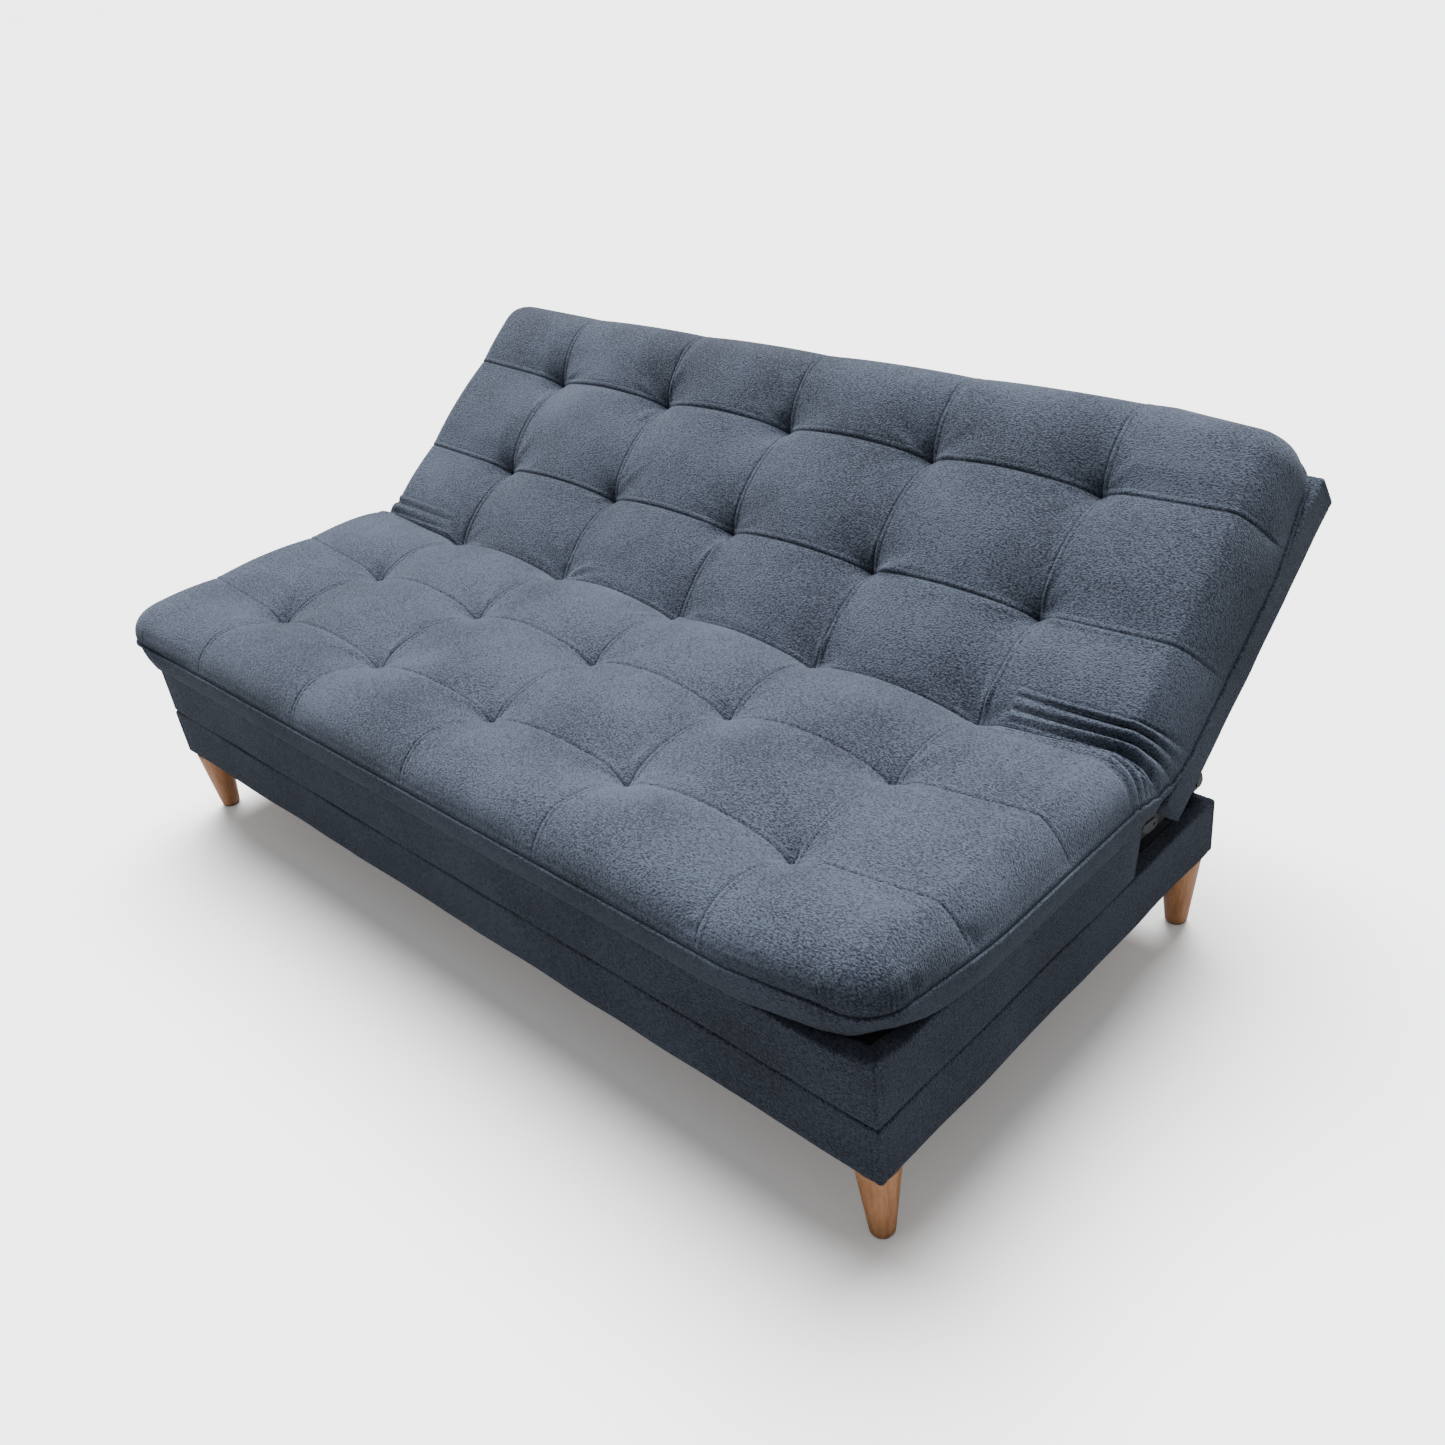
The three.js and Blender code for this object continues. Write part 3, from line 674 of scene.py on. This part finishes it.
def outline_path(corners, radius, closed):
    """A path round some corners: places, mitre directions, and distances to the nearest corner."""
    corners = [np.array(c, float) for c in corners]
    count = len(corners)
    places, mitres, to_corner = [], [], []
    for i in range(count if closed else count - 1):
        a, b = corners[i], corners[(i + 1) % count]
        ahead = (b - a) / np.linalg.norm(b - a)
        out = np.array([ahead[1], -ahead[0]])
        at_start = closed or i > 0
        at_end = closed or i < count - 2
        length = np.linalg.norm(b - a)
        start = radius if at_start else 0.0
        end = length - radius if at_end else length
        for d in run(start, end, COVER_STEP, (at_start, at_end)):
            share = 2 * d / length - 1
            skew = share if (share > 0 and at_end) or (share < 0 and at_start) else 0.0
            places.append(a + ahead * d)
            mitres.append(out + ahead * skew)
            to_corner.append(min(d if at_start else 1.0, length - d if at_end else 1.0))
        if at_end:
            c = corners[(i + 2) % count]
            turn_to = (c - b) / np.linalg.norm(c - b)
            centre = b - ahead * radius + turn_to * radius
            mitre = out + ahead
            for angle in (math.pi / 8, math.pi / 4, math.pi * 3 / 8):
                places.append(centre + radius * (out * math.cos(angle) + ahead * math.sin(angle)))
                mitres.append(mitre)
                to_corner.append(0.0)
    return np.array(places), np.array(mitres), np.array(to_corner)


def wrinkles(u, v, seed):
    """Slight unevenness of cloth pulled over a board, in metres."""
    rng = np.random.default_rng(seed)
    total = np.zeros(np.broadcast(u, v).shape)
    for _ in range(CLOTH_WAVES):
        pitch = rng.uniform(0.05, 0.35)
        lean = rng.uniform(-0.5, 0.5)
        phase = rng.uniform(0, 2 * math.pi)
        total = total + np.sin(2 * math.pi * (u + lean * v) / pitch + phase) * pitch
    return total * CLOTH_WAVE_HEIGHT


def board_cover(name, corners, section, place, closed, cloth, seed, slant=0.0, lift=0.0):
    """Cloth-covered boards: a section carried round a path, with a seam beside each corner.

    The ends of an open path can slant at the top, and the top edge can lift at the right corner."""
    path, mitres, to_corner = outline_path(corners, COVER_CORNER, closed)
    out, height = section[:, 0], section[:, 1]
    outer = np.clip((out + 0.006) / 0.006, 0, 1)
    distance = np.concatenate([[0], np.cumsum(np.linalg.norm(np.diff(path, axis=0), axis=1))])
    groove = 0.0013 * np.exp(-(((to_corner - BOARD_SEAM) / 0.0016) ** 2))
    swell = wrinkles(distance[:, None], height[None, :], seed) - groove[:, None]
    reach = out[None, :] + swell * outer[None, :]
    flat = path[:, None] + mitres[:, None] * reach[..., None]
    if slant:
        low, high = height.min(), height.max()
        for end in (0, -1):
            lean = slant * (height - low) / (high - low)
            near = np.exp(-np.abs(distance - distance[end]) / 0.06)
            flat[..., 1] += near[:, None] * lean[None, :]
    heights = np.broadcast_to(height, reach.shape)
    raised = lift * (1 - smooth(0.010, 0.060, to_corner)) * (path[:, 0] > 0)
    heights = heights + raised[:, None] * np.clip(1 - (height.max() - height) / 0.040, 0, 1)[None, :]
    points = place(flat[..., 0], flat[..., 1], heights)
    rows, sides = reach.shape
    faces = []
    for i in range(rows if closed else rows - 1):
        j = (i + 1) % rows
        for k in range(sides):
            m = (k + 1) % sides
            faces.append((i * sides + k, j * sides + k, j * sides + m, i * sides + m))
    if not closed:
        faces.append(tuple(range(sides)))
        faces.append(tuple((rows - 1) * sides + k for k in range(sides))[::-1])
    return new_mesh(name, points.reshape(-1, 3), faces, cloth)


def base_cover(cloth):
    """Cloth round the four base boards."""
    names = ["base_front_board", "base_left_board", "base_right_board", "base_rear_board"]
    low, high = union_box(*names)
    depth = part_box("base_front_board")[1].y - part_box("base_front_board")[0].y
    corners = [(low.x, low.y), (high.x, low.y), (high.x, high.y), (low.x, high.y)]
    section = edge_section(depth, low.z, high.z, BOARD_EDGE)
    piece = board_cover("base_cover", corners, section, on_floor_plan, True, cloth, 3)
    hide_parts(*names)
    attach(piece, "base")


def seat_box_cover(cloth):
    """Cloth round the front and the sides of the seat box, which is open at the rear."""
    names = ["seat_front_board", "seat_left_board", "seat_right_board"]
    low, high = union_box(*names)
    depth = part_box("seat_front_board")[1].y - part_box("seat_front_board")[0].y
    corners = [(low.x, high.y), (low.x, low.y), (high.x, low.y), (high.x, high.y)]
    section = edge_section(depth, low.z, high.z, BOARD_EDGE)
    piece = board_cover(
        "seat_box_cover", corners, section, on_floor_plan, False, cloth, 5, SIDE_SLANT, SEAT_CORNER_LIFT
    )
    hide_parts(*names)
    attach(piece, "seat")


def back_cover(cloth):
    """Cloth over the back frame's sides and top, down to its lower ends beside the hinge."""
    low, high = union_box("back_left_rail", "back_right_rail")
    along = reaches("back_left_rail", ALONG)
    across = reaches("back_left_rail", ACROSS)
    rear = min(reaches("back_rear_panel", ACROSS))
    start, end = BACK_COVER_START, max(along)
    corners = [(-low.x, start), (-low.x, end), (-high.x, end), (-high.x, start)]
    section = edge_section(BACK_COVER_DEPTH, rear, max(across), COVER_CORNER)
    piece = board_cover("back_cover", corners, section, on_back_plane, False, cloth, 7)
    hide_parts("back_left_rail", "back_right_rail", "back_top_rail")
    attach(piece, "back")
    rear_panel(cloth, high.x - PANEL_MARGIN, min(along), end - PANEL_MARGIN, rear)


def rear_panel(cloth, half, start, end, rear):
    """The cloth panel that closes the rear of the back, pulled tight, with a seam down the middle."""
    x = np.array(run(-half, 0, 0.03, (False, True)) + run(0, half, 0.03, (True, False))[1:])
    along = np.array(run(start, end, 0.03))
    share_x, share_a = x / half, 2 * (along - start) / (end - start) - 1
    bulge = (1 - share_x**6)[None, :] * (1 - share_a**4)[:, None]
    uneven = wrinkles(x[None, :], along[:, None], 11) * bulge
    seam = 0.002 * np.exp(-((x / 0.002) ** 2))[None, :]
    outer = rear + 0.003 - 0.006 * bulge + uneven + seam
    grid_x = np.broadcast_to(x[None, :], outer.shape)
    grid_a = np.broadcast_to(along[:, None], outer.shape)
    front = on_back_plane(grid_x, grid_a, outer + PANEL_THICKNESS)
    back = on_back_plane(grid_x, grid_a, outer)
    rows, columns = outer.shape
    count = rows * columns
    faces = grid_faces(rows, columns) + [tuple(reversed(f)) for f in grid_faces(rows, columns, count)]
    edge = [r * columns + c for r, c in rim((rows, columns))]
    for i in range(len(edge)):
        a, b = edge[i], edge[(i + 1) % len(edge)]
        faces.append((b, a, count + a, count + b))
    points = np.concatenate([front.reshape(-1, 3), back.reshape(-1, 3)])
    piece = new_mesh("back_rear_cloth", points, faces, cloth)
    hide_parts("back_rear_panel")
    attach(piece, "back")


def legs(beech):
    """Turned tapered legs with softened rims."""
    for name in [n for n in frame["nodes"] if n.startswith("leg_") and n.count("_") == 2]:
        low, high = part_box(name)
        centre, top = (low + high) / 2, (high.x - low.x) / 2
        tall = high.z - low.z
        profile = [(0.0, 0.0), (LEG_FOOT - LEG_RIM, 0.0), (LEG_FOOT, LEG_RIM)]
        profile += [(LEG_FOOT + (top - LEG_FOOT) * s, tall * s) for s in np.linspace(0.1, 0.95, 8)]
        profile += [(top, tall - 0.002), (top - LEG_RIM, tall), (0.0, tall)]
        piece = lathe(name + "_turned", profile, (centre.x, centre.y, low.z), beech)
        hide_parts(name)
        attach(piece, "base")


def lathe(name, profile, at, material, sides=64):
    """A turned piece from its profile of (radius, height), standing at a point."""
    points, rings = [], []
    for radius, height in profile:
        if radius == 0:
            rings.append([len(points)] * sides)
            points.append((at[0], at[1], at[2] + height))
            continue
        rings.append(list(range(len(points), len(points) + sides)))
        for k in range(sides):
            angle = 2 * math.pi * k / sides
            x, y = at[0] + radius * math.cos(angle), at[1] + radius * math.sin(angle)
            points.append((x, y, at[2] + height))
    faces = []
    for lower, upper in zip(rings, rings[1:]):
        for k in range(sides):
            m = (k + 1) % sides
            face = []
            for index in (lower[k], lower[m], upper[m], upper[k]):
                if index not in face:
                    face.append(index)
            faces.append(tuple(face))
    return new_mesh(name, points, faces, material)


def node_tree(name):
    """A new material, its nodes and links, and its shader."""
    material = bpy.data.materials.new(name)
    material.use_nodes = True
    nodes, links = material.node_tree.nodes, material.node_tree.links
    return material, nodes, links, nodes["Principled BSDF"]


def noise(nodes, links, scale, detail=2.0, stretch=(1, 1, 1), turn=(0, 0, 0), distortion=0.0):
    """Noise fixed to the object, stretched along its axes."""
    place = nodes.new("ShaderNodeTexCoord").outputs["Object"]
    mapping = nodes.new("ShaderNodeMapping")
    mapping.inputs["Rotation"].default_value = turn
    mapping.inputs["Scale"].default_value = stretch
    links.new(place, mapping.inputs["Vector"])
    texture = nodes.new("ShaderNodeTexNoise")
    texture.inputs["Scale"].default_value = scale
    texture.inputs["Detail"].default_value = detail
    texture.inputs["Distortion"].default_value = distortion
    links.new(mapping.outputs["Vector"], texture.inputs["Vector"])
    return texture.outputs["Fac"]


def mixed(nodes, links, *shares):
    """Sum of (value, share) pairs."""
    total = None
    for value, share in shares:
        node = nodes.new("ShaderNodeMath")
        node.operation = "MULTIPLY_ADD"
        links.new(value, node.inputs[0])
        node.inputs[1].default_value = share
        node.inputs[2].default_value = 0
        if total is not None:
            links.new(total, node.inputs[2])
        total = node.outputs[0]
    return total


def ramp(nodes, links, value, stops, shader):
    """The base colour, between (place, colour) stops."""
    node = nodes.new("ShaderNodeValToRGB")
    elements = node.color_ramp.elements
    while len(elements) < len(stops):
        elements.new(0.5)
    for element, (place, color) in zip(elements, stops):
        element.position = place
        element.color = (*color, 1)
    links.new(value, node.inputs["Fac"])
    links.new(node.outputs["Color"], shader.inputs["Base Color"])


def relief(nodes, links, height, shader, distance):
    """Bumps as high as the distance."""
    node = nodes.new("ShaderNodeBump")
    node.inputs["Distance"].default_value = distance
    links.new(height, node.inputs["Height"])
    links.new(node.outputs["Normal"], shader.inputs["Normal"])


def fabric(name, dark, light):
    """Pebbled upholstery cloth: grains a few millimetres long, a fine weave, slow shading and sheen."""
    material, nodes, links, shader = node_tree(name)
    grain = noise(nodes, links, 270, 2.0, (1.0, 1.8, 1.4), (0.5, 0.3, 0.6), 0.5)
    weave = noise(nodes, links, 1500, 1.0)
    slow = noise(nodes, links, 5, 3.0)
    fleck = mixed(nodes, links, (grain, 0.8), (weave, 0.2))
    shade = mixed(nodes, links, (fleck, 0.75), (slow, 0.25))
    ramp(nodes, links, shade, [(0.41, dark), (0.57, light)], shader)
    relief(nodes, links, fleck, shader, 0.0048)
    shader.inputs["Roughness"].default_value = 0.9
    shader.inputs["Specular IOR Level"].default_value = 0.2
    shader.inputs["Sheen Weight"].default_value = 0.25
    shader.inputs["Sheen Roughness"].default_value = 0.4
    shader.inputs["Sheen Tint"].default_value = (0.62, 0.72, 0.90, 1)
    return material


def lining(name):
    """Thin dark lining cloth with a tight weave."""
    material, nodes, links, shader = node_tree(name)
    weave = noise(nodes, links, 700, 1.0)
    slow = noise(nodes, links, 12, 2.0)
    shade = mixed(nodes, links, (weave, 0.6), (slow, 0.4))
    ramp(nodes, links, shade, [(0.35, (0.010, 0.012, 0.016)), (0.65, (0.028, 0.032, 0.040))], shader)
    relief(nodes, links, weave, shader, 0.0006)
    shader.inputs["Roughness"].default_value = 0.95
    return material


def wood(name, dark, light, grain_along, roughness, coat):
    """Wood with long fibres along one axis and darker streaks."""
    material, nodes, links, shader = node_tree(name)
    squeeze = [1.0 if axis == grain_along else 14.0 for axis in range(3)]
    streaks = noise(nodes, links, 9, 4.0, squeeze, distortion=0.4)
    fibres = noise(nodes, links, 60, 3.0, squeeze)
    shade = mixed(nodes, links, (streaks, 0.65), (fibres, 0.35))
    ramp(nodes, links, shade, [(0.34, dark), (0.66, light)], shader)
    relief(nodes, links, fibres, shader, 0.0004)
    shader.inputs["Roughness"].default_value = roughness
    shader.inputs["Coat Weight"].default_value = coat
    shader.inputs["Coat Roughness"].default_value = 0.25
    return material


def hardboard(name):
    """Brown fibreboard with fine speckle."""
    material, nodes, links, shader = node_tree(name)
    speckle = noise(nodes, links, 420, 3.0)
    clouds = noise(nodes, links, 14, 3.0)
    shade = mixed(nodes, links, (speckle, 0.5), (clouds, 0.5))
    ramp(nodes, links, shade, [(0.35, (0.20, 0.12, 0.068)), (0.65, (0.38, 0.245, 0.145))], shader)
    relief(nodes, links, speckle, shader, 0.0003)
    shader.inputs["Roughness"].default_value = 0.75
    return material


def metal(name, dark, light, metallic, roughness, grain, bump):
    """Coated steel: fine grain in the coat and slow variation."""
    material, nodes, links, shader = node_tree(name)
    fine = noise(nodes, links, grain, 2.0)
    slow = noise(nodes, links, 30, 2.0)
    shade = mixed(nodes, links, (fine, 0.5), (slow, 0.5))
    ramp(nodes, links, shade, [(0.35, dark), (0.65, light)], shader)
    relief(nodes, links, fine, shader, bump)
    shader.inputs["Metallic"].default_value = metallic
    shader.inputs["Roughness"].default_value = roughness
    return material


def camera():
    """From the right, above the front of the seat, with a slight roll."""
    yaw, pitch, roll = (math.radians(angle) for angle in CAMERA_TURN)
    look = Vector((math.sin(yaw) * math.cos(pitch), math.cos(yaw) * math.cos(pitch), math.sin(pitch)))
    level = Vector((math.cos(yaw), -math.sin(yaw), 0))
    upright = level.cross(look)
    right = math.cos(roll) * level + math.sin(roll) * upright
    up = math.cos(roll) * upright - math.sin(roll) * level
    turn = Matrix((right, up, -look)).transposed().to_4x4()
    eye = bpy.data.objects.new("camera", bpy.data.cameras.new("camera"))
    eye.matrix_world = Matrix.Translation(CAMERA_PLACE) @ turn
    eye.data.lens = CAMERA_LENS
    eye.data.sensor_width = 36
    bpy.context.scene.collection.objects.link(eye)
    bpy.context.scene.camera = eye


def camera_share(nodes, links, seen, unseen, socket):
    """Feeds a socket with one grey as the camera sees it, and another for the light it gives."""
    path = nodes.new("ShaderNodeLightPath")
    mix = nodes.new("ShaderNodeMix")
    mix.data_type = "RGBA"
    mix.inputs["A"].default_value = (unseen, unseen, unseen, 1)
    mix.inputs["B"].default_value = (seen, seen, seen, 1)
    links.new(path.outputs["Is Camera Ray"], mix.inputs["Factor"])
    links.new(mix.outputs["Result"], socket)


def studio():
    """A plain pale floor and backdrop, under one broad soft light high up and a little to the rear."""
    world = bpy.data.worlds.new("studio")
    world.use_nodes = True
    background = world.node_tree.nodes["Background"]
    camera_share(world.node_tree.nodes, world.node_tree.links, *BACKDROP, background.inputs["Color"])
    bpy.context.scene.world = world
    sun = bpy.data.objects.new("overhead", bpy.data.lights.new("overhead", "SUN"))
    sun.data.energy = SUN_ENERGY
    sun.data.angle = math.radians(SUN_SPREAD)
    sun.rotation_euler = Vector(SUN_FROM).to_track_quat("Z", "Y").to_euler()
    bpy.context.scene.collection.objects.link(sun)

    material, nodes, links, shader = node_tree("floor")
    camera_share(nodes, links, *FLOOR, shader.inputs["Base Color"])
    camera_share(nodes, links, 1.0, 0.0, shader.inputs["Emission Color"])
    shader.inputs["Emission Strength"].default_value = FLOOR_GLOW
    shader.inputs["Roughness"].default_value = 1.0
    shader.inputs["Specular IOR Level"].default_value = 0.0
    corners = [(x * FLOOR_REACH, y * FLOOR_REACH, 0) for x, y in ((-1, -1), (1, -1), (1, 1), (-1, 1))]
    floor = new_mesh("floor", corners, [(0, 1, 2, 3)], material)


def dress_frame():
    """Finishes for the CAD pieces that stay in view: the wood, the boards, the steel and the glides."""
    beech = wood("beech_wood", (0.50, 0.21, 0.085), (0.80, 0.40, 0.19), 2, 0.42, 0.25)
    pine_x = wood("pine_wood_wide", (0.50, 0.33, 0.17), (0.70, 0.50, 0.30), 0, 0.7, 0.0)
    pine_y = wood("pine_wood_deep", (0.50, 0.33, 0.17), (0.70, 0.50, 0.30), 1, 0.7, 0.0)
    steel = metal("black_steel_coat", (0.010, 0.011, 0.013), (0.028, 0.029, 0.033), 0.6, 0.5, 500, 0.0003)
    zinc = metal("dark_zinc", (0.008, 0.009, 0.011), (0.018, 0.020, 0.024), 0.3, 0.5, 260, 0.0001)
    plastic = metal("glide_plastic", (0.012, 0.012, 0.013), (0.024, 0.024, 0.026), 0.0, 0.55, 300, 0.0002)
    by_slot = {
        "beech": beech,
        "dark_cloth": lining("lining_cloth"),
        "hardboard": hardboard("hardboard_fibre"),
        "black_steel": steel,
        "zinc_steel": zinc,
        "glide_plastic": plastic,
    }
    for name, node in frame["nodes"].items():
        slot = node.data.materials[0].name.split(".")[0]
        if slot == "pine":
            low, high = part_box(name)
            node.data.materials[0] = pine_x if high.x - low.x > high.y - low.y else pine_y
        elif slot in by_slot:
            node.data.materials[0] = by_slot[slot]
    legs(beech)


cloth = fabric("upholstery_cloth", (0.009, 0.0115, 0.019), (0.062, 0.077, 0.109))
mattress(cloth)
base_cover(cloth)
seat_box_cover(cloth)
back_cover(cloth)
dress_frame()
camera()
studio()
